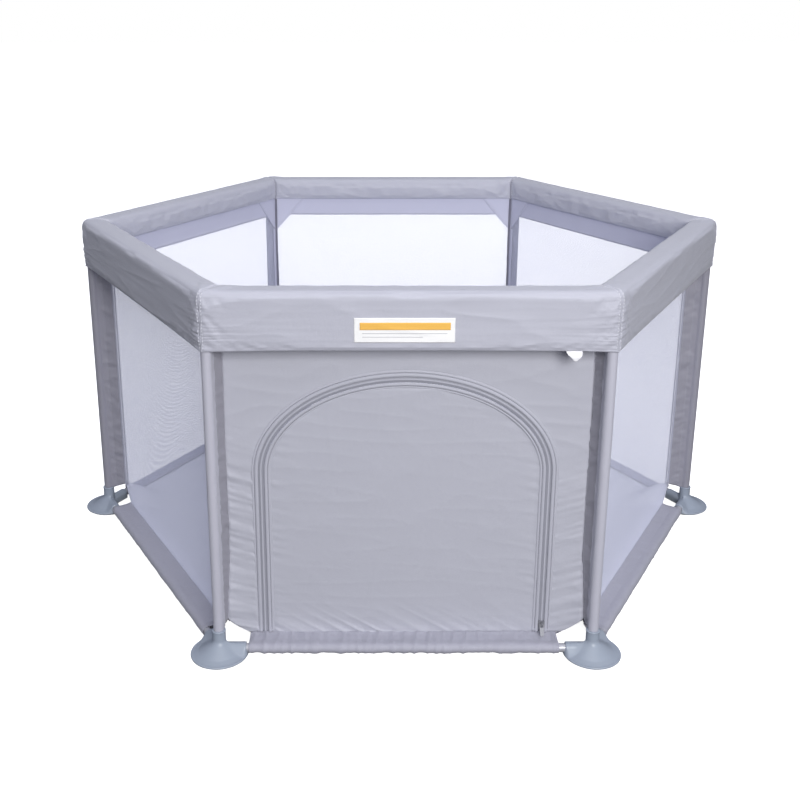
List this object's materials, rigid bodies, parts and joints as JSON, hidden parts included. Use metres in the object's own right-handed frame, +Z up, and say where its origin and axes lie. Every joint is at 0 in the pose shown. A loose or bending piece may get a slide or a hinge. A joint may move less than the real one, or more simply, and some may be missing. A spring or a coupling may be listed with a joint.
{
  "type": "travel play yard",
  "caption": "Hexagonal knock-down play yard: tube frame on flared feet, padded top rails, mesh sides and a zipped fabric door.",
  "frame": {"origin": "on the floor under the middle of the hexagon", "axes": "+Z up, front side with the door towards -Y, two opposite corners on +X and -X"},
  "size_m": [1.38, 1.2084, 0.65],
  "materials": {
    "tube": "satin",
    "foot_plastic": "satin",
    "pad_rubber": "matt",
    "connector_plastic": "satin",
    "cover_fabric": "woven",
    "foam": "foam",
    "mesh": "open mesh",
    "fin_fabric": "woven",
    "panel_fabric": "woven",
    "hem_fabric": "woven",
    "band_fabric": "woven",
    "floor_fabric": "woven",
    "zip_tape": "woven tape",
    "zip_metal": "satin",
    "label": "satin",
    "tag": "satin"
  },
  "bodies": {
    "frame": {"bottom_rail_back": "tube", "bottom_rail_back_left": "tube", "bottom_rail_back_right": "tube", "bottom_rail_front": "tube", "bottom_rail_front_left": "tube", "bottom_rail_front_right": "tube", "care_tag": "tag", "corner_fin_back_left": "fin_fabric", "corner_fin_back_right": "fin_fabric", "corner_fin_front_left": "fin_fabric", "corner_fin_front_right": "fin_fabric", "corner_fin_left": "fin_fabric", "corner_fin_right": "fin_fabric", "floor_sheet": "floor_fabric", "foot_back_left": "foot_plastic", "foot_back_right": "foot_plastic", "foot_front_left": "foot_plastic", "foot_front_right": "foot_plastic", "foot_left": "foot_plastic", "foot_pads": "pad_rubber", "foot_right": "foot_plastic", "front_panel": "panel_fabric", "hem_sleeves": "hem_fabric", "label_patch": "label", "mesh_back": "mesh", "mesh_back_left": "mesh", "mesh_back_right": "mesh", "mesh_front_left": "mesh", "mesh_front_right": "mesh", "post_back_left": "tube", "post_back_right": "tube", "post_front_left": "tube", "post_front_right": "tube", "post_left": "tube", "post_right": "tube", "rail_cover_back": "cover_fabric", "rail_cover_back_left": "cover_fabric", "rail_cover_back_right": "cover_fabric", "rail_cover_front": "cover_fabric", "rail_cover_front_left": "cover_fabric", "rail_cover_front_right": "cover_fabric", "rail_foam": "foam", "top_bands": "band_fabric", "top_connector_back_left": "connector_plastic", "top_connector_back_right": "connector_plastic", "top_connector_front_left": "connector_plastic", "top_connector_front_right": "connector_plastic", "top_connector_left": "connector_plastic", "top_connector_right": "connector_plastic", "top_rail_back": "tube", "top_rail_back_left": "tube", "top_rail_back_right": "tube", "top_rail_front": "tube", "top_rail_front_left": "tube", "top_rail_front_right": "tube", "zip_tape_outer": "zip_tape"},
    "door_flap": {"door_flap": "panel_fabric", "zip_tape_inner": "zip_tape"},
    "zip_slider": {"zip_slider": "zip_metal"},
    "zip_pull": {"zip_pull": "zip_metal"}
  },
  "joints": [
    {"name": "door_swing", "type": "hinge", "parent": "frame", "child": "door_flap", "pos_m": [-0.0035, -0.5234, 0.032], "axis": [1, 0, 0], "range_deg": [0, 90]},
    {"name": "slider_slide", "type": "slide", "parent": "frame", "child": "zip_slider", "axis": [0, 0, 1], "range_m": [0, 0.27]},
    {"name": "pull_swing", "type": "hinge", "parent": "zip_slider", "child": "zip_pull", "pos_m": [0.2365, -0.5275, 0.04], "axis": [-1, 0, 0], "range_deg": [0, 120]}
  ]
}
